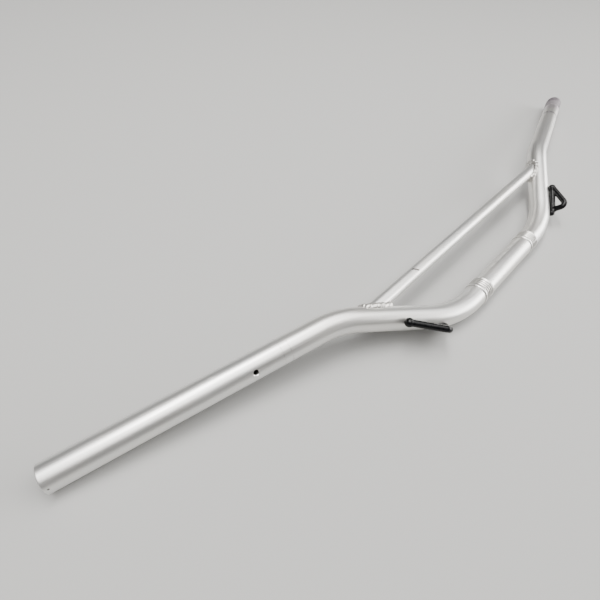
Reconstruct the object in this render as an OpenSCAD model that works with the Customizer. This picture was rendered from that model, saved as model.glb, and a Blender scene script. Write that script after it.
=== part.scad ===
// Braced off-road motorcycle handlebar, lying on its back.
// +X is the rider's left, +Y is up and +Z is forward once the bar is
// mounted, apart from the lay angle that rests its tips and collars on
// the ground.
// The origin is the middle of the clamp section, on the tube axis.

/* [Main tube] */
// Outside diameter of the bent tube
tube_od = 22.2; // [22:0.1:28.6]
// Wall thickness of the bent tube
tube_wall = 2.3; // [1.6:0.1:3]
// Tip to tip width
bar_width = 870; // [700:2:900]
// Height of the grip tips over the clamp section
tip_rise = 113; // [60:1:180]
// How far the grip tips sweep back
tip_pullback = 40; // [10:1:90]
// Half distance between the two lower bend corners
lower_corner_x = 101; // [70:1:120]
// Half distance between the two upper bend corners
upper_corner_x = 206; // [150:1:240]
// Height of the upper bend corners
upper_corner_rise = 68; // [40:1:120]
// Centreline radius of the lower bends
lower_bend_r = 110; // [60:5:120]
// Centreline radius of the upper bends
upper_bend_r = 90; // [60:5:120]
// Bevel on the rim at each tube end
end_bevel = 0.5; // [0.2:0.1:1]

/* [Switch locating hole] */
// Hole diameter
switch_hole_d = 4.6; // [3:0.1:6]
// Distance of the hole from the right tip
switch_hole_from_tip = 154; // [100:1:180]
// Turn of the hole about the grip, from straight up towards the front
switch_hole_turn = 55; // [0:1:90]

/* [Cross brace] */
// Outside diameter of the brace tube
brace_od = 12.7; // [10:0.1:16]
// Wall thickness of the brace tube
brace_wall = 1.6; // [1:0.1:2.5]
// Height of the brace over the clamp section
brace_rise = 56; // [40:1:90]
// Width of the weld bead round each brace end
weld_width = 2.6; // [1.5:0.1:4]
// Height of the weld bead on the main tube
weld_height = 2.2; // [1:0.1:4]

/* [Clamp collars] */
// Distance of each collar from the middle
collar_x = 54; // [40:1:65]
// Width of each collar
collar_width = 17; // [8:0.5:20]
// Thickness of the collar between its ridges
collar_thick = 0.4; // [0.2:0.1:1]
// Height of the two outer ridges over the tube
ridge_height = 1.0; // [0.5:0.1:2]
// Width of each outer ridge
ridge_width = 3.2; // [2:0.1:5]
// Height of the fine middle ribs over the tube
rib_height = 0.7; // [0.4:0.1:1.5]

/* [Wire guides] */
// Diameter of the steel wire
wire_d = 3.8; // [3:0.1:5]
// Outside diameter of the black sleeve
sleeve_d = 6.6; // [5:0.1:8]
// Diameter of the rounded boot at the pointed end
boot_d = 8.6; // [7:0.1:12]
// How far the boot reaches down from the pointed end
boot_length = 4; // [2:0.5:10]
// Pointed end of the right loop, measured up the riser
loop_top_right = 66; // [50:1:80]
// Pointed end of the left loop, welded on a little lower
loop_top_left = 58; // [50:1:80]
// Lower corner of the loop, measured up the riser
loop_low = 27; // [15:1:40]
// Outer corner of the loop, measured up the riser
loop_out = 27.5; // [15:0.5:50]
// Outer corner's distance from the riser axis
loop_reach = 29; // [20:0.5:40]
// Turn of the pointed end, from straight down towards the front
turn_top = 56; // [0:1:90]
// Turn of the lower corner
turn_low = 28; // [0:1:90]
// Turn of the outer corner
turn_out = 45.5; // [0:0.5:90]
// Centreline radius at the outer corner
loop_out_r = 5; // [4:0.5:8]
// Length of the bare foot below the loop
foot_length = 7; // [4:0.5:12]
// Diameter of the bead that fixes the foot
tack_d = 7; // [5:0.5:9]

/* [Hidden] */
$fn = 96;
// Part to build, or all of them
// Free space between neighbouring pieces
gap = 0.03;
// Extra length that carries a cut clear through a wall
over = 2;
// A bend is thicker than the straights it joins, by this share
bend_swell = 0.015;
// How far a bend laps over each straight, in degrees of the bend
bend_lap = 0.4;
// The loop's wire is thinner than the leg that it butts against
loop_share = 0.95;
// Free space between the leg's sleeve and the riser
leg_gap = 0.5;
// How far beside the leg the loop starts
loop_aside = 0.8;

tube_r = tube_od / 2;
bore_r = tube_r - tube_wall;
brace_r = brace_od / 2;
wire_r = wire_d / 2;
sleeve_r = sleeve_d / 2;
boot_r = boot_d / 2;

// The bar rests on both tips and on the collars' ridges.
lay = atan2(tip_pullback, tip_rise)
    - asin(ridge_height / norm([tip_rise, tip_pullback]));

function unit(v) = v / norm(v);
// A point given as sideways, up and forward on the mounted bar.
function laid(x, up, fwd) =
    [x, up * cos(lay) - fwd * sin(lay), up * sin(lay) + fwd * cos(lay)];

lower = laid(lower_corner_x, 0, 0);
upper = laid(upper_corner_x, upper_corner_rise, 0);
tip = laid(bar_width / 2, tip_rise, -tip_pullback);

across = [1, 0, 0];
riser = unit(upper - lower);
grip = unit(tip - upper);
front = laid(0, 0, 1);
below = cross(riser, front) * sign(cross(riser, front) * [0, -1, 0]);

function turn(ua, ub) = acos(ua * ub);
function setback(ua, ub, r) = r * tan(turn(ua, ub) / 2);

lower_set = setback(across, riser, lower_bend_r);
upper_set = setback(riser, grip, upper_bend_r);

// The switch hole's outward direction, square to the grip.
grip_up = unit([0, 0, 1] - grip * grip.z);
grip_front = unit(cross(grip, grip_up));
hole_out = grip_up * cos(switch_hole_turn) + grip_front * sin(switch_hole_turn);
hole_at = tip - grip * switch_hole_from_tip;

// The brace meets each riser's axis here.
brace_x = lower_corner_x
    + (upper_corner_x - lower_corner_x) * brace_rise / upper_corner_rise;
brace_end = laid(brace_x, brace_rise, 0);

// A point by the riser: distance up it, from its axis, and turn about it.
function by_riser(up, out, ang) =
    lower + riser * up + (below * cos(ang) + front * sin(ang)) * out;

leg_out = tube_r + sleeve_r + leg_gap;
loop_heel = by_riser(loop_low, leg_out, turn_low);
loop_elbow = by_riser(loop_out, loop_reach, turn_out);
back_dir = unit(loop_heel - loop_elbow);

// The two loops differ only in how far up the riser they point.
function loop_tip(top) = by_riser(top, leg_out, turn_top);
function leg_dir(top) = unit(loop_heel - loop_tip(top));
function foot_end(top, short = 0) =
    loop_heel + leg_dir(top) * (foot_length - short);
function boot_at(top) = loop_tip(top) + leg_dir(top) * boot_length / 2;
// The loop's wire starts beside the leg, inside the boot.
function loop_start(top) =
    boot_at(top) + unit(loop_elbow - loop_heel) * loop_aside;
function out_dir(top) = unit(loop_elbow - loop_start(top));
function elbow_set(top) = setback(out_dir(top), back_dir, loop_out_r);
function off_riser(top) =
    unit(cross(leg_dir(top), cross(foot_end(top) - lower, leg_dir(top))));
// The tack sits between the foot and the tube.
function tack_at(top) =
    foot_end(top) - (leg_dir(top) + off_riser(top)) * tack_d / 4;

// Places its children with Z along one direction and X towards another.
module aim(at, z_dir, x_ref) {
    z = unit(z_dir);
    x = unit(x_ref - z * (x_ref * z));
    y = cross(z, x);
    multmatrix([[x.x, y.x, z.x, at.x],
                [x.y, y.y, z.y, at.y],
                [x.z, y.z, z.z, at.z],
                [0, 0, 0, 1]]) children();
}

// A vector square to v, to steady the turn of a cylinder.
function square_to(v) = abs(unit(v).z) < 0.9 ? [0, 0, 1] : [0, 1, 0];

module rod(a, b, r) {
    aim(a, b - a, square_to(b - a)) cylinder(r = r, h = norm(b - a));
}

// A bend of bar round one corner, from direction ua to direction ub.
module elbow(corner, ua, ub, bend_r, r) {
    from = corner - ua * setback(ua, ub, bend_r);
    inward = unit(unit(ub - ua) - ua * (unit(ub - ua) * ua));
    aim(from + inward * bend_r, cross(ua, ub), -inward)
        rotate([0, 0, -bend_lap])
            rotate_extrude(angle = turn(ua, ub) + 2 * bend_lap)
                translate([bend_r, 0]) circle(r = r * (1 + bend_swell));
}

// The main tube's line from its lower bend out to the tip, of radius r.
module side_line(r, extra) {
    elbow(lower, across, riser, lower_bend_r, r);
    rod(lower + riser * lower_set, upper - riser * upper_set, r);
    elbow(upper, riser, grip, upper_bend_r, r);
    rod(upper + grip * upper_set, tip + grip * extra, r);
}

module whole_line(r, extra = 0) {
    centre_end = lower - across * lower_set;
    rod(-centre_end, centre_end, r);
    both_sides() side_line(r, extra);
}

module both_sides() {
    children();
    mirror([1, 0, 0]) children();
}

module rim_bevel() {
    aim(tip - grip * end_bevel, grip, [0, 0, 1])
        difference() {
            cylinder(r = tube_r + over, h = end_bevel + over);
            cylinder(r1 = tube_r, r2 = tube_r - end_bevel - over,
                     h = end_bevel + over);
        }
}

module main_tube() {
    color([0.78, 0.77, 0.74])
        difference() {
            whole_line(tube_r);
            whole_line(bore_r, over);
            both_sides() rim_bevel();
            mirror([1, 0, 0])
                rod(hole_at, hole_at + hole_out * (tube_r + over),
                    switch_hole_d / 2);
        }
}

// Clears a riser's straight run out of a piece that sits against it.
module riser_solid(r) {
    rod(lower + riser * lower_set, upper, r);
}

module brace_solid(r) {
    rod([-brace_end.x, brace_end.y, brace_end.z], brace_end, r);
}

module crossbar() {
    color([0.79, 0.78, 0.75])
        difference() {
            brace_solid(brace_r);
            brace_solid(brace_r - brace_wall);
            both_sides() riser_solid(tube_r + gap);
        }
}

module brace_weld() {
    color([0.82, 0.81, 0.79])
        difference() {
            intersection() {
                rod(brace_end - across * tube_od * 2, brace_end,
                    brace_r + weld_width);
                riser_solid(tube_r + weld_height);
            }
            brace_solid(brace_r + gap);
            riser_solid(tube_r + gap);
        }
}

module weld_left() brace_weld();
module weld_right() mirror([1, 0, 0]) brace_weld();

// A collar's outline: two outer ridges with fine ribs between them.
module collar_outline() {
    foot = tube_r + gap;
    edge = collar_width / 2;
    flank = ridge_width / 4;
    rib = collar_width / 8;
    half = [
        [tube_r + rib_height, rib / 3], [tube_r + collar_thick, rib],
        [tube_r + collar_thick, edge - ridge_width],
        [tube_r + ridge_height, edge - ridge_width + flank],
        [tube_r + ridge_height, edge - flank],
        [foot, edge]
    ];
    last = len(half) - 1;
    polygon([
        for (p = half) p,
        for (i = [last : -1 : 0]) [half[i].x, -half[i].y]
    ]);
}

module clamp_collar() {
    color([0.8, 0.79, 0.76])
        translate([collar_x, 0, 0]) rotate([0, 90, 0])
            rotate_extrude() collar_outline();
}

module collar_left() clamp_collar();
module collar_right() mirror([1, 0, 0]) clamp_collar();

// The guide's wire line: a leg down the riser, and a loop that leaves it
// at the pointed end and butts back against it at the heel.
module guide_line(top, r, foot) {
    loop_r = r * loop_share;
    rod(loop_tip(top) - leg_dir(top) / 2, foot, r);
    rod(loop_start(top), loop_elbow - out_dir(top) * elbow_set(top), loop_r);
    elbow(loop_elbow, out_dir(top), back_dir, loop_out_r, loop_r);
    rod(loop_elbow + back_dir * elbow_set(top), loop_heel, loop_r);
}

module wire(top) {
    color([0.45, 0.45, 0.46]) guide_line(top, wire_r, foot_end(top));
}

module sleeve(top) {
    color([0.03, 0.03, 0.035])
        difference() {
            guide_line(top, sleeve_r, foot_end(top, foot_length / 2));
            guide_line(top, wire_r + gap, foot_end(top, -over));
            boot_solid(top, boot_r + gap);
        }
}

module boot_solid(top, r) {
    translate(boot_at(top)) sphere(r = r);
}

module boot(top) {
    color([0.03, 0.03, 0.035])
        difference() {
            boot_solid(top, boot_r);
            guide_line(top, wire_r + gap, foot_end(top));
            riser_solid(tube_r + gap);
        }
}

// A bead that fixes the wire's bare foot to the tube.
module tack(top) {
    color([0.03, 0.03, 0.035])
        difference() {
            translate(tack_at(top)) sphere(d = tack_d);
            guide_line(top, wire_r + gap, foot_end(top, -over));
            guide_line(top, sleeve_r + gap, foot_end(top, foot_length / 2));
            side_line(tube_r + gap, 0);
        }
}

module guide_wire_left() wire(loop_top_left);
module guide_wire_right() mirror([1, 0, 0]) wire(loop_top_right);
module guide_sleeve_left() sleeve(loop_top_left);
module guide_sleeve_right() mirror([1, 0, 0]) sleeve(loop_top_right);
module guide_boot_left() boot(loop_top_left);
module guide_boot_right() mirror([1, 0, 0]) boot(loop_top_right);
module guide_tack_left() tack(loop_top_left);
module guide_tack_right() mirror([1, 0, 0]) tack(loop_top_right);

main_tube();
crossbar();
weld_left();
weld_right();
collar_left();
collar_right();
guide_wire_left();
guide_wire_right();
guide_sleeve_left();
guide_sleeve_right();
guide_boot_left();
guide_boot_right();
guide_tack_left();
guide_tack_right();
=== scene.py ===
"""Visual model of a braced off-road handlebar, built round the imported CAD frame. Metres throughout."""
import math

import bpy
import numpy as np
from mathutils import Matrix, Quaternion, Vector, noise


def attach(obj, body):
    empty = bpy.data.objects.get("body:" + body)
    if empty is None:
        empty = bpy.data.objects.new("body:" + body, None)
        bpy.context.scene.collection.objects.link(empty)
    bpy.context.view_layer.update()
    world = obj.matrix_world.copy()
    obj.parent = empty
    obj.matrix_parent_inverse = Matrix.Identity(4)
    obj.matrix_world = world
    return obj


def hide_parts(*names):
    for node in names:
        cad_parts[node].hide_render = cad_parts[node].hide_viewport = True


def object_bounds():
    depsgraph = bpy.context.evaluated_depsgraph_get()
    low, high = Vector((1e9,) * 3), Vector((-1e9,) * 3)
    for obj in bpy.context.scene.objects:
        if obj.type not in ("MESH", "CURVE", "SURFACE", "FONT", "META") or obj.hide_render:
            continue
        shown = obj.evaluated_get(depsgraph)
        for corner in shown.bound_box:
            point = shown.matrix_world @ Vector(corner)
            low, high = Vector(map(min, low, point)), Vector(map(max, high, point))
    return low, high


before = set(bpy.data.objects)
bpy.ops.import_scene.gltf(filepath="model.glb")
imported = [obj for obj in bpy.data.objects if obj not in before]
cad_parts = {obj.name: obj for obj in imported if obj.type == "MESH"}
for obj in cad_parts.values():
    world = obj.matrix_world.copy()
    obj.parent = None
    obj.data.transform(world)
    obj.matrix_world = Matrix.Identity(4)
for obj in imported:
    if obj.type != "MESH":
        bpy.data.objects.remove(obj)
cad_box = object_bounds()
MM = 0.001

# ---------------------------------------------------------------- the bar's sizes, as in the CAD part
TUBE_R = 11.1 * MM
TUBE_WALL = 2.3 * MM
BORE_R = TUBE_R - TUBE_WALL
LIP = 0.45 * MM
HALF_WIDTH = 435 * MM
TIP_RISE = 113 * MM
TIP_PULLBACK = 40 * MM
LOWER_X = 101 * MM
UPPER_X = 206 * MM
UPPER_RISE = 68 * MM
LOWER_BEND_R = 110 * MM
UPPER_BEND_R = 90 * MM
HOLE_R = 2.3 * MM
HOLE_FROM_TIP = 154 * MM
HOLE_TURN = math.radians(55)
BRACE_R = 6.35 * MM
BRACE_WALL = 1.6 * MM
BRACE_RISE = 56 * MM
COLLAR_X = 54 * MM
COLLAR_WIDTH = 17 * MM
RIDGE_HEIGHT = 1.0 * MM
RIDGE_WIDTH = 3.2 * MM
RIB_COUNT = 4
WIRE_R = 1.9 * MM
SLEEVE_R = 3.3 * MM
BOOT_R = 4.3 * MM
BOOT_LENGTH = 4 * MM
LOOP_TOP_RIGHT = 66 * MM
LOOP_TOP_LEFT = 58 * MM
LOOP_LOW = 27 * MM
LOOP_OUT = 27.5 * MM
LOOP_REACH = 29 * MM
TURN_TOP = math.radians(56)
TURN_LOW = math.radians(28)
TURN_OUT = math.radians(45.5)
LOOP_BEND_R = 5 * MM
LEG_GAP = 0.5 * MM
FOOT_LENGTH = 7 * MM
TACK_R = 3.5 * MM

# ---------------------------------------------------------------- sizes of marks, beads and mesh detail
RING_MARKS = (179 * MM, 186 * MM)
RIM_NOTCH_SHADE_R = 1.1 * MM
SCRATCH_NICK_R = 1.3 * MM
SCRATCH_X = -106 * MM
# How far short of the left tip each stain starts to show and is full.
TINT_FADE = (72 * MM, 52 * MM)
DIRT_FADE = (45 * MM, 36 * MM)
FLECK_FADE = (115 * MM, 90 * MM)
SMEAR_FROM_TIP = 83 * MM
BEAD_PITCH = 3.6 * MM
# Each collar's skin starts this far inside the tube.
COLLAR_SINK = 0.15 * MM
MELT_VOXEL = 0.26 * MM
MELT_SMOOTHING = 12
RIM_STEPS = 6
ROD_SIDES = 40

# ---------------------------------------------------------------- the studio
FLOOR_HALF = 6.0
FLOOR_GREY = (0.36, 0.36, 0.355, 1)
CAMERA_LENS = 25.8
CAMERA_AT = (-0.40440, -0.03205, 0.30835)
CAMERA_TURN = (38.452, -6.945, -46.369)

# The bar lies on its two tips and its collars.
LAY = math.atan2(TIP_PULLBACK, TIP_RISE) - math.asin(RIDGE_HEIGHT / math.hypot(TIP_RISE, TIP_PULLBACK))
MIRROR_X = Matrix.Scale(-1, 4, Vector((1, 0, 0)))


def laid(x, up, forward):
    """A point given as sideways, up and forward on the mounted bar."""
    return Vector((
        x,
        up * math.cos(LAY) - forward * math.sin(LAY),
        up * math.sin(LAY) + forward * math.cos(LAY),
    ))


LOWER = laid(LOWER_X, 0, 0)
UPPER = laid(UPPER_X, UPPER_RISE, 0)
TIP = laid(HALF_WIDTH, TIP_RISE, -TIP_PULLBACK)
RISER = (UPPER - LOWER).normalized()
GRIP = (TIP - UPPER).normalized()
FRONT = laid(0, 0, 1)
BELOW = RISER.cross(FRONT)
if BELOW.y > 0:
    BELOW = -BELOW
BRACE_X = LOWER_X + (UPPER_X - LOWER_X) * BRACE_RISE / UPPER_RISE
BRACE_END = laid(BRACE_X, BRACE_RISE, 0)


def mirrored(point):
    return Vector((-point.x, point.y, point.z))


# ---------------------------------------------------------------- lines, and skins swept along them
class Line:
    """A bar's centreline: straight runs joined by arcs, with a frame carried along it without twist."""

    def __init__(self, corners, bend_radii, start_side, arc_step=math.radians(1)):
        self.points = [corners[0]]
        self.inward = [Vector((0, 0, 0))]
        self.dirs = [(corners[1] - corners[0]).normalized()]
        for before, corner, after, radius in zip(corners, corners[1:], corners[2:], bend_radii):
            self._add_arc(before, corner, after, radius, arc_step)
        self.points.append(corners[-1])
        self.inward.append(Vector((0, 0, 0)))
        self.dirs.append((corners[-1] - corners[-2]).normalized())
        self.along = [0.0]
        for a, b in zip(self.points, self.points[1:]):
            self.along.append(self.along[-1] + (b - a).length)
        self.length = self.along[-1]
        side = (start_side - self.dirs[0] * start_side.dot(self.dirs[0])).normalized()
        self.sides = [side]
        for a, b in zip(self.dirs, self.dirs[1:]):
            side = a.rotation_difference(b) @ side
            side = (side - b * side.dot(b)).normalized()
            self.sides.append(side)

    def _add_arc(self, before, corner, after, radius, step):
        into = (corner - before).normalized()
        out = (after - corner).normalized()
        turn = into.angle(out)
        start = corner - into * radius * math.tan(turn / 2)
        axis = into.cross(out).normalized()
        inward = axis.cross(into)
        centre = start + inward * radius
        count = max(4, round(turn / step))
        for i in range(count + 1):
            spin = Quaternion(axis, turn * i / count)
            self.points.append(centre + spin @ (start - centre))
            self.dirs.append(spin @ into)
            ends = math.sin(math.pi * i / count) ** 0.5
            self.inward.append(spin @ inward * ends)

    def at(self, distance):
        """Point, direction, side and inward pull of the bend at a distance along the line.
        The distance may run past the line's ends."""
        i = int(np.searchsorted(self.along, distance, side="right")) - 1
        i = min(max(i, 0), len(self.points) - 2)
        span = self.along[i + 1] - self.along[i]
        t = (distance - self.along[i]) / span if span > 1e-9 else 0
        point = self.points[i].lerp(self.points[i + 1], t)
        t = min(max(t, 0), 1)
        direction = self.dirs[i].lerp(self.dirs[i + 1], t).normalized()
        side = self.sides[i].lerp(self.sides[i + 1], t)
        side = (side - direction * side.dot(direction)).normalized()
        return point, direction, side, self.inward[i].lerp(self.inward[i + 1], t)

    def marks(self, start, end, straight_step):
        """Distances from start to end: every arc point, and even steps on the straight runs."""
        out = [start]
        fixed = [s for s in self.along if start < s < end] + [end]
        for stop in fixed:
            gap = stop - out[-1]
            if gap < 1e-7:
                continue
            count = max(1, math.ceil(gap / straight_step))
            first = out[-1]
            out += [first + gap * (i + 1) / count for i in range(count)]
        return out


def new_object(name, verts, faces):
    mesh = bpy.data.meshes.new(name)
    mesh.from_pydata([tuple(v) for v in verts], [], faces)
    mesh.validate()
    mesh.update()
    obj = bpy.data.objects.new(name, mesh)
    bpy.context.scene.collection.objects.link(obj)
    for polygon in mesh.polygons:
        polygon.use_smooth = True
    return obj


def band_faces(rings, sides, closed):
    """Four-sided faces between neighbouring rings of points, and from last to first if closed."""
    faces = []
    for i in range(rings if closed else rings - 1):
        a = i * sides
        b = (i + 1) % rings * sides
        for k in range(sides):
            n = (k + 1) % sides
            faces.append((a + k, a + n, b + n, b + k))
    return faces


def turned(faces):
    """The same four-sided faces, facing the other way."""
    return [(p, s, r, q) for p, q, r, s in faces]


def sweep(name, line, stations, sides, swell=None, closed=False, oval=0.0):
    """A skin along a line. Each station is (distance, radius). Closed joins the last station to the
    first, and otherwise both ends are capped. swell(distance, angle) adds to the radius, and oval
    flattens the bends."""
    verts = []
    for distance, radius in stations:
        point, direction, side, inward = line.at(distance)
        other = direction.cross(side)
        for k in range(sides):
            angle = 2 * math.pi * k / sides
            ray = side * math.cos(angle) + other * math.sin(angle)
            pull = inward.length
            r = radius
            if pull > 1e-6:
                r *= 1 + oval * pull * (1 - 2 * (ray.dot(inward) / pull) ** 2)
            if swell:
                r += swell(distance, angle)
            verts.append(point + ray * r)
    rings = len(stations)
    faces = band_faces(rings, sides, closed)
    if not closed:
        faces.append(tuple(reversed(range(sides))))
        faces.append(tuple(range((rings - 1) * sides, rings * sides)))
    return new_object(name, verts, faces)


def flat_shade_edges(obj, degrees):
    """Smooth shading that breaks at edges sharper than this."""
    obj.data.set_sharp_from_angle(angle=math.radians(degrees))


def applied(obj):
    """The object with its modifiers made part of its mesh."""
    graph = bpy.context.evaluated_depsgraph_get()
    mesh = bpy.data.meshes.new_from_object(obj.evaluated_get(graph))
    obj.modifiers.clear()
    old = obj.data
    obj.data = mesh
    bpy.data.meshes.remove(old)
    return obj


def unroll(obj, line, samples_step=1.0 * MM):
    """Stores each vertex's place on the straightened bar: along it, and across it in two directions."""
    count = math.ceil(line.length / samples_step)
    distances = np.linspace(0, line.length, count + 1)
    frames = [line.at(d) for d in distances]
    centre = np.array([f[0] for f in frames])
    forward = np.array([f[1] for f in frames])
    side = np.array([f[2] for f in frames])
    other = np.cross(forward, side)
    co = np.zeros(len(obj.data.vertices) * 3)
    obj.data.vertices.foreach_get("co", co)
    co = co.reshape(-1, 3)
    nearest = np.zeros(len(co), int)
    for start in range(0, len(co), 4000):
        part = co[start:start + 4000]
        gaps = ((part[:, None, :] - centre[None, :, :]) ** 2).sum(2)
        nearest[start:start + 4000] = gaps.argmin(1)
    off = co - centre[nearest]
    out = np.stack([
        distances[nearest] + (off * forward[nearest]).sum(1),
        (off * side[nearest]).sum(1),
        (off * other[nearest]).sum(1),
    ], 1)
    attribute = obj.data.attributes.new("straightened", "FLOAT_VECTOR", "POINT")
    attribute.data.foreach_set("vector", out.astype(np.float32).ravel())


# ---------------------------------------------------------------- materials
class Nodes:
    """Short names for the nodes of one material."""

    def __init__(self, name):
        self.material = bpy.data.materials.new(name)
        self.material.use_nodes = True
        self.tree = self.material.node_tree
        self.tree.nodes.clear()
        self.shader = self.tree.nodes.new("ShaderNodeBsdfPrincipled")
        out = self.tree.nodes.new("ShaderNodeOutputMaterial")
        self.link(self.shader.outputs["BSDF"], out.inputs["Surface"])

    def link(self, a, b):
        self.tree.links.new(a, b)

    def put(self, socket, value):
        if hasattr(value, "is_linked"):
            self.link(value, socket)
        else:
            socket.default_value = value

    def straightened(self):
        node = self.tree.nodes.new("ShaderNodeAttribute")
        node.attribute_name = "straightened"
        return node.outputs["Vector"]

    def place(self):
        return self.tree.nodes.new("ShaderNodeTexCoord").outputs["Object"]

    def pointiness(self):
        return self.tree.nodes.new("ShaderNodeNewGeometry").outputs["Pointiness"]

    def scaled(self, vector, scale, move=(0, 0, 0)):
        node = self.tree.nodes.new("ShaderNodeMapping")
        node.inputs["Scale"].default_value = scale
        node.inputs["Location"].default_value = move
        self.link(vector, node.inputs["Vector"])
        return node.outputs["Vector"]

    def noise(self, vector, scale, detail=3.0, roughness=0.55, distortion=0.0):
        node = self.tree.nodes.new("ShaderNodeTexNoise")
        node.inputs["Scale"].default_value = scale
        node.inputs["Detail"].default_value = detail
        node.inputs["Roughness"].default_value = roughness
        node.inputs["Distortion"].default_value = distortion
        self.link(vector, node.inputs["Vector"])
        return node.outputs["Fac"]

    def cells(self, vector, scale):
        node = self.tree.nodes.new("ShaderNodeTexVoronoi")
        node.inputs["Scale"].default_value = scale
        self.link(vector, node.inputs["Vector"])
        return node.outputs["Distance"]

    def ramp(self, value, low, high, to_low=0.0, to_high=1.0):
        node = self.tree.nodes.new("ShaderNodeMapRange")
        node.interpolation_type = "SMOOTHSTEP"
        node.inputs["From Min"].default_value = low
        node.inputs["From Max"].default_value = high
        node.inputs["To Min"].default_value = to_low
        node.inputs["To Max"].default_value = to_high
        self.link(value, node.inputs["Value"])
        return node.outputs["Result"]

    def maths(self, operation, a, b=0.0):
        node = self.tree.nodes.new("ShaderNodeMath")
        node.operation = operation
        for socket, value in zip(node.inputs, (a, b)):
            self.put(socket, value)
        return node.outputs["Value"]

    def split(self, vector):
        node = self.tree.nodes.new("ShaderNodeSeparateXYZ")
        self.link(vector, node.inputs["Vector"])
        return node.outputs

    def distance(self, vector, point):
        node = self.tree.nodes.new("ShaderNodeVectorMath")
        node.operation = "DISTANCE"
        self.link(vector, node.inputs[0])
        node.inputs[1].default_value = point
        return node.outputs["Value"]

    def mix(self, factor, a, b):
        node = self.tree.nodes.new("ShaderNodeMix")
        node.data_type = "RGBA"
        self.put(node.inputs["Factor"], factor)
        for socket, value in ((node.inputs["A"], a), (node.inputs["B"], b)):
            self.put(socket, (*value, 1.0) if isinstance(value, tuple) and len(value) == 3 else value)
        return node.outputs["Result"]

    def bump(self, height, depth, strength):
        node = self.tree.nodes.new("ShaderNodeBump")
        node.inputs["Strength"].default_value = strength
        node.inputs["Distance"].default_value = depth
        self.link(height, node.inputs["Height"])
        return node.outputs["Normal"]

    def band(self, value, middle, half_width, soft):
        """One inside a band about middle, falling to nothing over soft."""
        away = self.maths("ABSOLUTE", self.maths("SUBTRACT", value, middle))
        return self.ramp(away, half_width, half_width + soft, 1.0, 0.0)


SILVER = (0.80, 0.785, 0.755)
SILVER_COOL = (0.745, 0.745, 0.74)
SILVER_WORN = (0.62, 0.60, 0.57)


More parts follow.
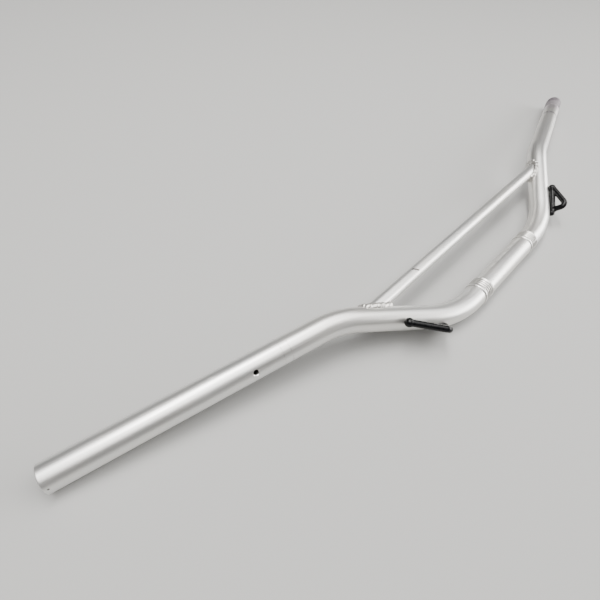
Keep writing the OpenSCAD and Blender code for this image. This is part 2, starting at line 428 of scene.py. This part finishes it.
def silver(name, streaks=1.0, tip_dirt=False, rings=(), dark_spots=(), rough=0.36, groove_shade=0.0):
    """Satin silver: fine metallic speckle, faint streaks along the bar, stains, scuffs, small dark scratch
    marks and painted shade. rings are distances along the bar of faint marks round it. The dark spots are
    (point, radius) in the part's frame, for a real scratch on the brace and for painted shade at a
    notch in the tube's rim. Both are colour and bump only. The groove shade option paints shade
    into the grooves of a collar."""
    n = Nodes(name)
    bar = n.straightened()
    along = n.split(bar)[0]
    place = n.place()
    speckle = n.noise(place, 2600, detail=1.0)
    streak = n.noise(n.scaled(bar, (14, 900, 900)), 1.0, detail=4.0, roughness=0.6)
    long_scratch = n.noise(n.scaled(bar, (35, 2600, 2600), (3, 7, 11)), 1.0, detail=1.0)
    stain = n.noise(n.scaled(bar, (9, 45, 45)), 1.0, detail=4.0, roughness=0.6)
    blotch = n.noise(place, 55, detail=5.0, roughness=0.62, distortion=0.6)

    colour = n.mix(n.ramp(stain, 0.35, 0.68), SILVER, SILVER_COOL)
    colour = n.mix(n.ramp(speckle, 0.35, 0.75, 0.0, 0.22), colour, SILVER_WORN)
    colour = n.mix(n.ramp(streak, 0.52, 0.78, 0.0, 0.16 * streaks), colour, SILVER_WORN)
    fine = n.ramp(long_scratch, 0.70, 0.78)
    colour = n.mix(n.maths("MULTIPLY", fine, 0.22 * streaks), colour, (0.90, 0.89, 0.87))
    rubbed = n.noise(n.scaled(place, (60, 60, 60), (2, 5, 1)), 1.0, detail=6.0, roughness=0.7)
    scuff = n.ramp(rubbed, 0.62, 0.72)
    colour = n.mix(n.maths("MULTIPLY", scuff, 0.16), colour, SILVER_WORN)

    roughness = n.ramp(streak, 0.2, 0.8, rough - 0.05, rough + 0.07)
    roughness = n.maths("ADD", roughness, n.maths("MULTIPLY", scuff, 0.10))
    metal = n.ramp(stain, 0.0, 1.0, 0.90, 0.94)
    height = n.maths("ADD", n.maths("MULTIPLY", speckle, 0.5), n.maths("MULTIPLY", streak, 0.5 * streaks))
    height = n.maths("SUBTRACT", height, n.maths("MULTIPLY", fine, 0.4 * streaks))

    for middle in rings:
        wander = n.maths("MULTIPLY", n.maths("SUBTRACT", n.noise(place, 120), 0.5), 1.0 * MM)
        ring = n.band(n.maths("ADD", along, wander), middle, 0.2 * MM, 0.6 * MM)
        broken = n.ramp(n.noise(place, 180, detail=2.0), 0.44, 0.62)
        mark = n.maths("MULTIPLY", ring, broken)
        colour = n.mix(n.maths("MULTIPLY", mark, 0.42), colour, (0.42, 0.40, 0.38))
        height = n.maths("SUBTRACT", height, n.maths("MULTIPLY", mark, 0.8))

    # Dark spots with a shallow dent: the brace's real scratch, and painted shade standing for the notch in
    # the tube's rim.
    for point, radius in dark_spots:
        wobble = n.maths("MULTIPLY", n.maths("SUBTRACT", n.noise(place, 900), 0.5), radius)
        reach = n.maths("ADD", n.distance(place, point), wobble)
        spot = n.ramp(reach, radius * 0.55, radius, 1.0, 0.0)
        colour = n.mix(n.maths("MULTIPLY", spot, 0.92), colour, (0.07, 0.055, 0.05))
        height = n.maths("SUBTRACT", height, n.maths("MULTIPLY", spot, 2.0))

    across = n.split(bar)
    squares = [n.maths("POWER", across[i], 2.0) for i in (1, 2)]
    off_axis = n.maths("SQRT", n.maths("ADD", *squares))
    # Painted shade: the colour darkens in the collar's grooves, close to the tube's surface.
    if groove_shade:
        low = n.ramp(off_axis, TUBE_R + 0.15 * MM, TUBE_R + 0.7 * MM, 1.0, 0.0)
        colour = n.mix(n.maths("MULTIPLY", low, groove_shade), colour, (0.27, 0.26, 0.24))

    if tip_dirt:
        end = bar_line.length
        edge = n.maths("ADD", along, n.maths("MULTIPLY", n.maths("SUBTRACT", blotch, 0.5), 14 * MM))
        tint = n.ramp(edge, end - TINT_FADE[0], end - TINT_FADE[1])
        colour = n.mix(n.maths("MULTIPLY", tint, 0.45), colour, (0.47, 0.40, 0.47))
        dirty = n.ramp(edge, end - DIRT_FADE[0], end - DIRT_FADE[1])
        patchy = n.maths("MULTIPLY", dirty, n.ramp(blotch, 0.25, 0.60, 0.70, 1.0))
        colour = n.mix(n.maths("MULTIPLY", patchy, 0.93), colour, (0.10, 0.085, 0.10))
        line_mark = n.band(edge, end - SMEAR_FROM_TIP, 2.0 * MM, 3.0 * MM)
        smear = n.maths("MULTIPLY", line_mark, n.ramp(n.noise(place, 150, detail=3.0), 0.40, 0.55))
        colour = n.mix(n.maths("MULTIPLY", smear, 0.72), colour, (0.25, 0.22, 0.25))
        flecks = n.ramp(n.noise(place, 260, detail=3.0), 0.58, 0.66)
        near = n.maths("MULTIPLY", n.ramp(along, end - FLECK_FADE[0], end - FLECK_FADE[1]), flecks)
        colour = n.mix(n.maths("MULTIPLY", near, 0.35), colour, (0.38, 0.35, 0.38))
        roughness = n.maths("ADD", roughness, n.maths("MULTIPLY", patchy, 0.22))
        metal = n.maths("SUBTRACT", metal, n.maths("MULTIPLY", patchy, 0.55))
        height = n.maths("ADD", height, n.maths("MULTIPLY", n.maths("MULTIPLY", patchy, blotch), 2.0))
        # The bore is bare, oxidised metal.
        inside = n.ramp(off_axis, BORE_R + 0.1 * MM, BORE_R + 0.7 * MM, 1.0, 0.0)
        colour = n.mix(n.maths("MULTIPLY", inside, 0.8), colour, (0.30, 0.28, 0.26))
        roughness = n.maths("ADD", roughness, n.maths("MULTIPLY", inside, 0.2))

    n.link(colour, n.shader.inputs["Base Color"])
    n.link(roughness, n.shader.inputs["Roughness"])
    n.link(metal, n.shader.inputs["Metallic"])
    n.link(n.bump(height, 0.035 * MM, strength=0.5), n.shader.inputs["Normal"])
    return n.material


def weld_silver():
    """Silver over a weld bead: painted highlight on the crests and painted shade in the valleys, with a few
    dark pin marks.
    """
    n = Nodes("weld_silver")
    place = n.place()
    grain = n.noise(place, 1500, detail=3.0)
    cloud = n.noise(place, 220, detail=4.0)
    # Painted highlight and shade: by pointiness, the colour runs from dark in the bead's valleys to bright on
    # its crests.
    crest_highlight_valley_shade = n.ramp(n.pointiness(), 0.47, 0.53)
    colour = n.mix(crest_highlight_valley_shade, (0.50, 0.485, 0.46), (0.92, 0.91, 0.89))
    colour = n.mix(n.ramp(cloud, 0.45, 0.75, 0.0, 0.4), colour, (0.60, 0.58, 0.55))
    pits = n.ramp(n.cells(place, 420), 0.05, 0.16, 1.0, 0.0)
    colour = n.mix(n.maths("MULTIPLY", pits, 0.5), colour, (0.22, 0.19, 0.17))
    n.link(colour, n.shader.inputs["Base Color"])
    n.link(n.ramp(cloud, 0.3, 0.7, 0.27, 0.42), n.shader.inputs["Roughness"])
    n.shader.inputs["Metallic"].default_value = 0.88
    height = n.maths("SUBTRACT", grain, n.maths("MULTIPLY", pits, 0.8))
    n.link(n.bump(height, 0.08 * MM, strength=0.6), n.shader.inputs["Normal"])
    return n.material


def guide_black():
    """Dipped plastic: near black and glossy, with an orange peel, dust and rub marks."""
    n = Nodes("guide_black")
    place = n.place()
    peel = n.noise(place, 520, detail=2.0)
    dust = n.noise(place, 2400, detail=2.0)
    rub = n.ramp(n.noise(place, 170, detail=5.0, roughness=0.65), 0.60, 0.74)
    colour = n.mix(n.ramp(dust, 0.60, 0.80, 0.0, 0.12), (0.003, 0.003, 0.0035), (0.09, 0.09, 0.09))
    colour = n.mix(n.maths("MULTIPLY", rub, 0.20), colour, (0.05, 0.05, 0.052))
    n.link(colour, n.shader.inputs["Base Color"])
    gloss = n.ramp(peel, 0.3, 0.7, 0.20, 0.30)
    n.link(n.maths("ADD", gloss, n.maths("MULTIPLY", rub, 0.2)), n.shader.inputs["Roughness"])
    n.shader.inputs["Specular IOR Level"].default_value = 0.22
    n.link(n.bump(peel, 0.16 * MM, strength=0.8), n.shader.inputs["Normal"])
    return n.material


def guide_steel():
    """Bare drawn wire: dull grey with brown tarnish and die lines."""
    n = Nodes("guide_steel")
    place = n.place()
    tarnish = n.noise(place, 380, detail=5.0, roughness=0.65)
    colour = n.mix(n.ramp(tarnish, 0.42, 0.66), (0.42, 0.42, 0.43), (0.17, 0.12, 0.09))
    n.link(colour, n.shader.inputs["Base Color"])
    n.link(n.ramp(tarnish, 0.35, 0.7, 0.32, 0.6), n.shader.inputs["Roughness"])
    n.link(n.ramp(tarnish, 0.42, 0.70, 1.0, 0.55), n.shader.inputs["Metallic"])
    n.link(n.bump(n.noise(place, 1800, detail=3.0), 0.05 * MM, strength=0.5), n.shader.inputs["Normal"])
    return n.material


def finish_piece(obj, material, slot, *nodes):
    """Gives a piece its material and its body, and hides the CAD nodes it stands for."""
    obj.data.materials.clear()
    obj.data.materials.append(material)
    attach(obj, "root")
    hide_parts(*nodes)
    return obj


# ---------------------------------------------------------------- the main tube
bar_line = Line(
    [mirrored(TIP), mirrored(UPPER), mirrored(LOWER), LOWER, UPPER, TIP],
    [UPPER_BEND_R, LOWER_BEND_R, LOWER_BEND_R, UPPER_BEND_R],
    Vector((0, -0.4, -1)),
)


def hand_worked(distance, angle):
    """The small unevenness of a bent and polished tube."""
    around = Vector((math.cos(angle), math.sin(angle), 0)) * 0.8
    return 0.035 * MM * noise.noise(Vector((distance * 28, around.x, around.y)))


def rim(end, inside, outside, direction):
    """Stations that carry the skin round a rounded rim, from the bore to the outside."""
    turns = [math.pi / 2 * i / RIM_STEPS for i in range(RIM_STEPS + 1)]
    out = [(end - direction * LIP * (1 - math.sin(a)), inside + LIP * (1 - math.cos(a))) for a in turns]
    out += [(end - direction * LIP * (1 - math.cos(a)), outside - LIP * (1 - math.sin(a))) for a in turns]
    return out


def tube_stations():
    """Round the tube's wall: the first rim, out along the outside, the other rim, and back along the bore."""
    end = bar_line.length
    outer = bar_line.marks(2 * LIP, end - 2 * LIP, 2.5 * MM)
    inner = bar_line.marks(2 * LIP, end - 2 * LIP, 8 * MM)
    stations = rim(0, BORE_R, TUBE_R, -1)
    stations += [(s, TUBE_R) for s in outer]
    stations += list(reversed(rim(end, BORE_R, TUBE_R, 1)))
    stations += [(s, BORE_R) for s in reversed(inner)]
    return stations


def hole_frame():
    """Centre and outward direction of the switch hole, on the rider's right grip."""
    up = (Vector((0, 0, 1)) - GRIP * GRIP.z).normalized()
    side = GRIP.cross(up).normalized()
    out = up * math.cos(HOLE_TURN) + side * math.sin(HOLE_TURN)
    return mirrored(TIP - GRIP * HOLE_FROM_TIP), mirrored(out)


def cut_switch_hole(tube):
    """Drills the locating hole through one wall and breaks its edge."""
    centre, out = hole_frame()
    axis = Line([centre, centre + out * 0.03], [], Vector((1, 0, 0)))
    chamfer = 0.35 * MM
    top = TUBE_R - 0.25 * MM
    cutter = sweep("cutter", axis, [
        (4 * MM, HOLE_R), (top - chamfer, HOLE_R), (top + 2 * MM, HOLE_R + chamfer + 2 * MM),
    ], 48)
    cut = tube.modifiers.new("hole", "BOOLEAN")
    cut.operation = "DIFFERENCE"
    cut.solver = "EXACT"
    cut.object = cutter
    applied(tube)
    bpy.data.objects.remove(cutter)
    flat_shade_edges(tube, 28)
    round_normals(tube, centre + out * TUBE_R, 9 * MM)


def round_normals(tube, middle, reach):
    """Outside faces near a cut take the tube's own round normals, so the cut leaves no shading marks."""
    mesh = tube.data
    wanted = [(0.0, 0.0, 0.0)] * len(mesh.loops)
    for polygon in mesh.polygons:
        if (polygon.center - middle).length > reach:
            continue
        for loop_index in polygon.loop_indices:
            co = mesh.vertices[mesh.loops[loop_index].vertex_index].co
            radial = co - mirrored(TIP)
            direction = mirrored(GRIP)
            radial = (radial - direction * radial.dot(direction)).normalized()
            if polygon.normal.dot(radial) > 0.95:
                wanted[loop_index] = tuple(radial)
    mesh.normals_split_custom_set(wanted)


def make_tube():
    tube = sweep("bar_tube", bar_line, tube_stations(), 96, swell=hand_worked, closed=True, oval=0.006)
    cut_switch_hole(tube)
    unroll(tube, bar_line)
    # Painted shade: a dark spot on the right tip's rim stands for a small notch there.
    rim_notch_shade = mirrored(TIP) + (Vector((0, -1, 0.4)).normalized() * TUBE_R)
    dark_spots = [(rim_notch_shade, RIM_NOTCH_SHADE_R)]
    material = silver("satin_silver", tip_dirt=True, rings=RING_MARKS, dark_spots=dark_spots)
    return finish_piece(tube, material, "satin_silver", "main_tube")


# ---------------------------------------------------------------- the brace and its weld beads
def riser_reach(point, radius):
    """How far a point can move along +X before it meets a cylinder of this radius round the left riser."""
    w = point - LOWER
    a = 1 - RISER.x ** 2
    b = 2 * (w.x - w.dot(RISER) * RISER.x)
    c = w.length_squared - w.dot(RISER) ** 2 - radius ** 2
    return (-b - math.sqrt(b * b - 4 * a * c)) / (2 * a)


def brace_skin(radius, steps, sides):
    """Rings from the middle of the brace to its fishmouth end at the left riser."""
    rings = []
    for i in range(steps + 1):
        ring = []
        for k in range(sides):
            angle = 2 * math.pi * k / sides
            across = radius * math.cos(angle)
            up = radius * math.sin(angle)
            start = Vector((0, BRACE_END.y + across, BRACE_END.z + up))
            end = riser_reach(start, TUBE_R + 0.05 * MM)
            ring.append(start + Vector((end * i / steps, 0, 0)))
        rings.append(ring)
    return rings


def make_brace():
    sides = 64
    steps = 50
    outer = brace_skin(BRACE_R, steps, sides)
    inner = brace_skin(BRACE_R - BRACE_WALL, steps, sides)
    half = outer[::-1] + [[mirrored(p) for p in ring] for ring in outer[1:]]
    back = [[mirrored(p) for p in ring] for ring in inner[::-1]] + inner[1:]
    rings = half + back
    verts = []
    for i, ring in enumerate(rings):
        shell = i < len(half)
        for p in ring:
            axis = Vector((p.x, BRACE_END.y, BRACE_END.z))
            dent = 0.03 * MM * noise.noise(Vector((p.x * 40, p.y * 60, p.z * 60))) if shell else 0
            verts.append(p + (p - axis).normalized() * dent)
    brace = new_object("brace_tube", verts, band_faces(len(rings), sides, True))
    flat_shade_edges(brace, 40)
    line = Line([mirrored(BRACE_END), BRACE_END], [], Vector((0, 0, -1)))
    unroll(brace, line)
    # A short dark scratch on the brace's front, nearer the rider's right.
    middle = Vector((SCRATCH_X, BRACE_END.y, BRACE_END.z + BRACE_R))
    slant = Vector((0.9, -1.2, 0)) * MM
    dark_spots = [(middle + slant * i, SCRATCH_NICK_R) for i in (-2, -1, 0, 1, 2)]
    material = silver("brace_silver", dark_spots=dark_spots, rough=0.38)
    return finish_piece(brace, material, "satin_silver", "crossbar")


def weld_path(count):
    """Points where the brace meets the left riser, with the outward direction of each tube there."""
    out = []
    for i in range(count):
        angle = 2 * math.pi * i / count
        outward = Vector((0, math.cos(angle), math.sin(angle)))
        start = Vector((0, BRACE_END.y, BRACE_END.z)) + outward * BRACE_R
        point = start + Vector((riser_reach(start, TUBE_R), 0, 0))
        w = point - LOWER
        radial = (w - RISER * w.dot(RISER)).normalized()
        out.append((point, outward, radial))
    return out


def make_bead(name, seed):
    """A hand-laid bead: a fat fillet round the joint whose overlapping scallops run along it."""
    count = 420
    section = 26
    path = weld_path(count)
    travelled = [0.0]
    for (a, _, _), (b, _, _) in zip(path, path[1:] + path[:1]):
        travelled.append(travelled[-1] + (b - a).length)
    total = travelled[-1]
    puddles = round(total / BEAD_PITCH)
    verts = []
    for i, (point, off_brace, off_riser) in enumerate(path):
        nearby = (path[(i + 1) % count][0] - path[i - 1][0]).normalized()
        bisector = (off_brace + off_riser)
        bisector = (bisector - nearby * bisector.dot(nearby)).normalized()
        side = nearby.cross(bisector)
        squeeze = off_brace.dot(off_riser)
        vee = min(max((-squeeze - 0.3) / 0.5, 0), 1)
        tail = min(max((squeeze - 0.5) / 0.3, 0), 1)
        fat = (3.0 + 0.9 * vee + 0.2 * squeeze) * MM
        place = travelled[i] / total
        round_trip = 2 * math.pi * place
        wander = noise.noise(Vector((math.cos(round_trip) * 2, math.sin(round_trip) * 2, seed)))
        centre = point + bisector * (0.2 + 0.25 * wander + 1.6 * vee) * MM
        centre += (RISER * 3.0 - off_riser * 0.9) * tail * MM
        for k in range(section):
            angle = 2 * math.pi * k / section
            lag = 0.45 * (1 - math.cos(angle))
            phase = (place * puddles + lag + 0.25 * wander) % 1
            scallop = (0.75 * (1 - (1 - phase) ** 2) - 0.38) * MM
            lump = 0.28 * MM * noise.noise(point * 260 + Vector((seed, k * 0.13, 0)))
            r = fat * (1 + 0.12 * wander) + scallop + lump
            verts.append(centre + (bisector * math.cos(angle) + side * math.sin(angle)) * r)
    return new_object(name, verts, turned(band_faces(count, section, True)))


def make_beads():
    material = weld_silver()
    left = make_bead("weld_bead_left", 3.0)
    right = make_bead("weld_bead_right", 8.0)
    right.data.transform(MIRROR_X)
    right.data.flip_normals()
    for obj, node in ((left, "weld_left"), (right, "weld_right")):
        finish_piece(obj, material, "weld_silver", node)


# ---------------------------------------------------------------- the clamp collars
def collar_profile():
    """(place across the collar, height over the tube): two rounded ridges with fine ribs between."""
    half = COLLAR_WIDTH / 2
    steps = 220
    out = []
    for i in range(steps + 1):
        across = -half + COLLAR_WIDTH * i / steps
        into = half - abs(across)
        if into < RIDGE_WIDTH:
            t = max(into / RIDGE_WIDTH, 0)
            height = 0.06 * MM + (RIDGE_HEIGHT - 0.06 * MM) * math.sin(math.pi * t) ** 0.55
        else:
            height = 0.08 * MM
        if into >= RIDGE_WIDTH * 0.82:
            inner = half - RIDGE_WIDTH * 0.9
            wave = 0.5 + 0.5 * math.cos(math.pi * RIB_COUNT * across / inner)
            height = max(height, (0.08 + 0.6 * wave ** 1.3) * MM)
        out.append((across, height))
    return out


def make_collar(name, sign):
    sides = 96
    profile = collar_profile()
    rings = [(x, TUBE_R + h) for x, h in profile]
    under = TUBE_R - COLLAR_SINK
    rings += [(profile[-1][0], under), (profile[0][0], under)]
    verts = []
    for x, r in rings:
        for k in range(sides):
            angle = 2 * math.pi * k / sides
            wobble = 0.03 * MM * noise.noise(Vector((math.cos(angle) * 3, math.sin(angle) * 3, x * 500)))
            radius = r + wobble
            verts.append(Vector((sign * (COLLAR_X + x), radius * math.cos(angle), radius * math.sin(angle))))
    faces = band_faces(len(rings), sides, True)
    if sign > 0:
        faces = [face[::-1] for face in faces]
    collar = new_object(name, verts, faces)
    flat_shade_edges(collar, 50)
    unroll(collar, bar_line)
    return collar


def make_collars():
    # The collars get painted shade in their grooves.
    material = silver("collar_silver", streaks=0.4, rough=0.37, groove_shade=0.75)
    for side, sign in (("left", 1), ("right", -1)):
        collar = make_collar("clamp_collar_" + side, sign)
        finish_piece(collar, material, "collar_silver", "collar_" + side)


# ---------------------------------------------------------------- the wire guides
def by_riser(up, out, turn):
    return LOWER + RISER * up + (BELOW * math.cos(turn) + FRONT * math.sin(turn)) * out


class Loop:
    """The wire line of one guide, on the left riser: a leg down the riser and a loop back to its heel."""

    def __init__(self, top):
        leg_out = TUBE_R + SLEEVE_R + LEG_GAP
        self.tip = by_riser(top, leg_out, TURN_TOP)
        self.heel = by_riser(LOOP_LOW, leg_out, TURN_LOW)
        self.elbow = by_riser(LOOP_OUT, LOOP_REACH, TURN_OUT)
        self.leg = (self.heel - self.tip).normalized()
        self.foot = self.heel + self.leg * FOOT_LENGTH
        self.boot = self.tip + self.leg * BOOT_LENGTH / 2
        self.start = self.boot + (self.elbow - self.heel).normalized() * 0.8 * MM


def rod_between(name, a, b, radius, round_ends):
    """A straight round rod whose ends are rounded by this much."""
    line = Line([a, b], [], (b - a).orthogonal())
    head = []
    for i in range(RIM_STEPS + 1):
        turn = math.pi / 2 * (1 - i / RIM_STEPS)
        head.append((round_ends * (1 - math.sin(turn)), radius - round_ends * (1 - math.cos(turn))))
    tail = [(line.length - s, r) for s, r in reversed(head)]
    return sweep(name, line, head + tail, ROD_SIDES)


def joined(name, pieces):
    verts = []
    faces = []
    for piece in pieces:
        base = len(verts)
        verts += [v.co.copy() for v in piece.data.vertices]
        faces += [tuple(base + i for i in p.vertices) for p in piece.data.polygons]
        bpy.data.objects.remove(piece)
    return new_object(name, verts, faces)


def dipped(obj, voxel, rounds):
    """Melts overlapping rods into one skin with soft crotches, as a dipped coating has."""
    remesh = obj.modifiers.new("melt", "REMESH")
    remesh.mode = "VOXEL"
    remesh.voxel_size = voxel
    remesh.use_smooth_shade = True
    smooth = obj.modifiers.new("flow", "SMOOTH")
    smooth.factor = 0.5
    smooth.iterations = rounds
    return applied(obj)


def make_sleeve(loop):
    """The black sleeve: a leg beside the riser and a loop that leaves it and comes back to its heel."""
    leg_top = loop.tip - loop.leg * 0.5 * MM
    leg_end = loop.foot - loop.leg * FOOT_LENGTH / 2
    leg = rod_between("leg", leg_top, leg_end, SLEEVE_R, 0.6 * MM)
    line = Line([loop.start, loop.elbow, loop.heel], [LOOP_BEND_R], Vector((0, 0, 1)), math.radians(6))
    bow = sweep("bow", line, [(s, SLEEVE_R * 0.97) for s in line.marks(0, line.length, 2 * MM)], ROD_SIDES)
    return dipped(joined("guide_sleeve", [leg, bow]), MELT_VOXEL, MELT_SMOOTHING)


def make_boot(loop):
    """The rounded boot over the pointed end: a ball that necks down on to the leg, with a rolled lip."""
    start = loop.boot - loop.leg * BOOT_R
    line = Line([start, start + loop.leg * 3 * BOOT_R], [], FRONT)
    stations = []
    ball_steps = 34
    for i in range(1, ball_steps + 1):
        s = 1.6 * BOOT_R * i / ball_steps
        stations.append((s, math.sqrt(max(BOOT_R ** 2 - (s - BOOT_R) ** 2, (0.12 * BOOT_R) ** 2))))
    lip_at, lip_r = stations[-1]
    lip_steps = 8
    for i in range(1, lip_steps + 1):
        angle = math.pi * i / lip_steps
        bulge = 0.28 * MM * math.sin(angle) - 0.1 * MM * i / lip_steps
        stations.append((lip_at + 0.5 * MM * (1 - math.cos(angle)), lip_r + bulge))
    stations.append((stations[-1][0] + 0.1 * MM, SLEEVE_R * 0.9))
    boot = sweep("guide_boot", line, stations, 64)
    flat_shade_edges(boot, 45)
    return boot


def make_foot_wire(loop):
    """The bare wire that shows below the sleeve and runs up inside it."""
    return rod_between("guide_wire", loop.tip, loop.foot, WIRE_R, 0.35 * MM)


def make_tack(loop):
    """The small weld that holds the bare foot to the riser: a squashed, lumpy blob."""
    away = loop.leg.cross((loop.foot - LOWER).cross(loop.leg)).normalized()
    centre = loop.foot - (loop.leg + away) * TACK_R / 2
    rows = 36
    columns = 48
    verts = []
    for i in range(rows + 1):
        polar = math.pi * i / rows
        for k in range(columns):
            angle = 2 * math.pi * k / columns
            flat = math.sin(polar)
            ray = Vector((flat * math.cos(angle), flat * math.sin(angle), math.cos(polar)))
            ripple = 0.10 * MM * math.sin(polar * 16)
            r = TACK_R * 0.97 + ripple + 0.25 * MM * noise.noise(ray * 2.3)
            verts.append(centre + ray * r)
    tack = new_object("guide_tack", verts, turned(band_faces(rows + 1, columns, False)))
    weld = tack.modifiers.new("poles", "WELD")
    weld.merge_threshold = 0.01 * MM
    return applied(tack)


def make_guides():
    black = guide_black()
    makers = (
        ("sleeve", make_sleeve, black, "guide_black"),
        ("boot", make_boot, black, "guide_black"),
        ("wire", make_foot_wire, guide_steel(), "guide_steel"),
        ("tack", make_tack, black, "guide_black"),
    )
    for side, top in (("left", LOOP_TOP_LEFT), ("right", LOOP_TOP_RIGHT)):
        loop = Loop(top)
        for kind, maker, material, slot in makers:
            piece = maker(loop)
            piece.name = "wire_guide_" + kind + "_" + side
            if side == "right":
                piece.data.transform(MIRROR_X)
                piece.data.flip_normals()
            finish_piece(piece, material, slot, "guide_" + kind + "_" + side)


# ---------------------------------------------------------------- floor, light and camera
def make_floor():
    """A plain pale floor under the bar, larger than the view."""
    low = cad_box[0][2]
    corners = [(x * FLOOR_HALF, y * FLOOR_HALF, low) for x, y in ((-1, -1), (1, -1), (1, 1), (-1, 1))]
    floor = new_object("floor", corners, [(0, 1, 2, 3)])
    n = Nodes("floor")
    n.shader.inputs["Base Color"].default_value = FLOOR_GREY
    n.shader.inputs["Roughness"].default_value = 0.9
    floor.data.materials.append(n.material)


def area_light(name, at, target, size, power, colour=(1, 1, 1)):
    light = bpy.data.lights.new(name, "AREA")
    light.shape = "RECTANGLE"
    light.size, light.size_y = size
    light.energy = power
    light.color = colour
    obj = bpy.data.objects.new(name, light)
    bpy.context.scene.collection.objects.link(obj)
    obj.location = at
    obj.rotation_euler = (Vector(target) - Vector(at)).to_track_quat("-Z", "Y").to_euler()


def make_light():
    world = bpy.data.worlds.new("studio")
    bpy.context.scene.world = world
    world.use_nodes = True
    background = world.node_tree.nodes["Background"]
    background.inputs["Color"].default_value = (0.97, 0.98, 1.0, 1)
    background.inputs["Strength"].default_value = 0.07
    warm = (1.0, 0.985, 0.96)
    area_light("ceiling", (0.0, 0.1, 1.7), (0.0, 0.1, 0), (2.8, 2.0), 84, warm)
    area_light("key", (-0.30, 0.42, 1.5), (-0.15, 0.08, 0), (0.9, 0.22), 20, warm)
    area_light("side", (1.7, -1.2, 0.75), (0.1, 0.05, 0.02), (2.2, 0.9), 72, warm)


def make_camera():
    """Low over the right grip, looking along the bar."""
    camera = bpy.data.cameras.new("camera")
    camera.sensor_width = 36
    camera.lens = CAMERA_LENS
    camera.clip_start = 0.01
    obj = bpy.data.objects.new("camera", camera)
    bpy.context.scene.collection.objects.link(obj)
    obj.location = CAMERA_AT
    obj.rotation_euler = [math.radians(a) for a in CAMERA_TURN]
    bpy.context.scene.camera = obj


make_tube()
make_brace()
make_beads()
make_collars()
make_guides()
make_floor()
make_light()
make_camera()
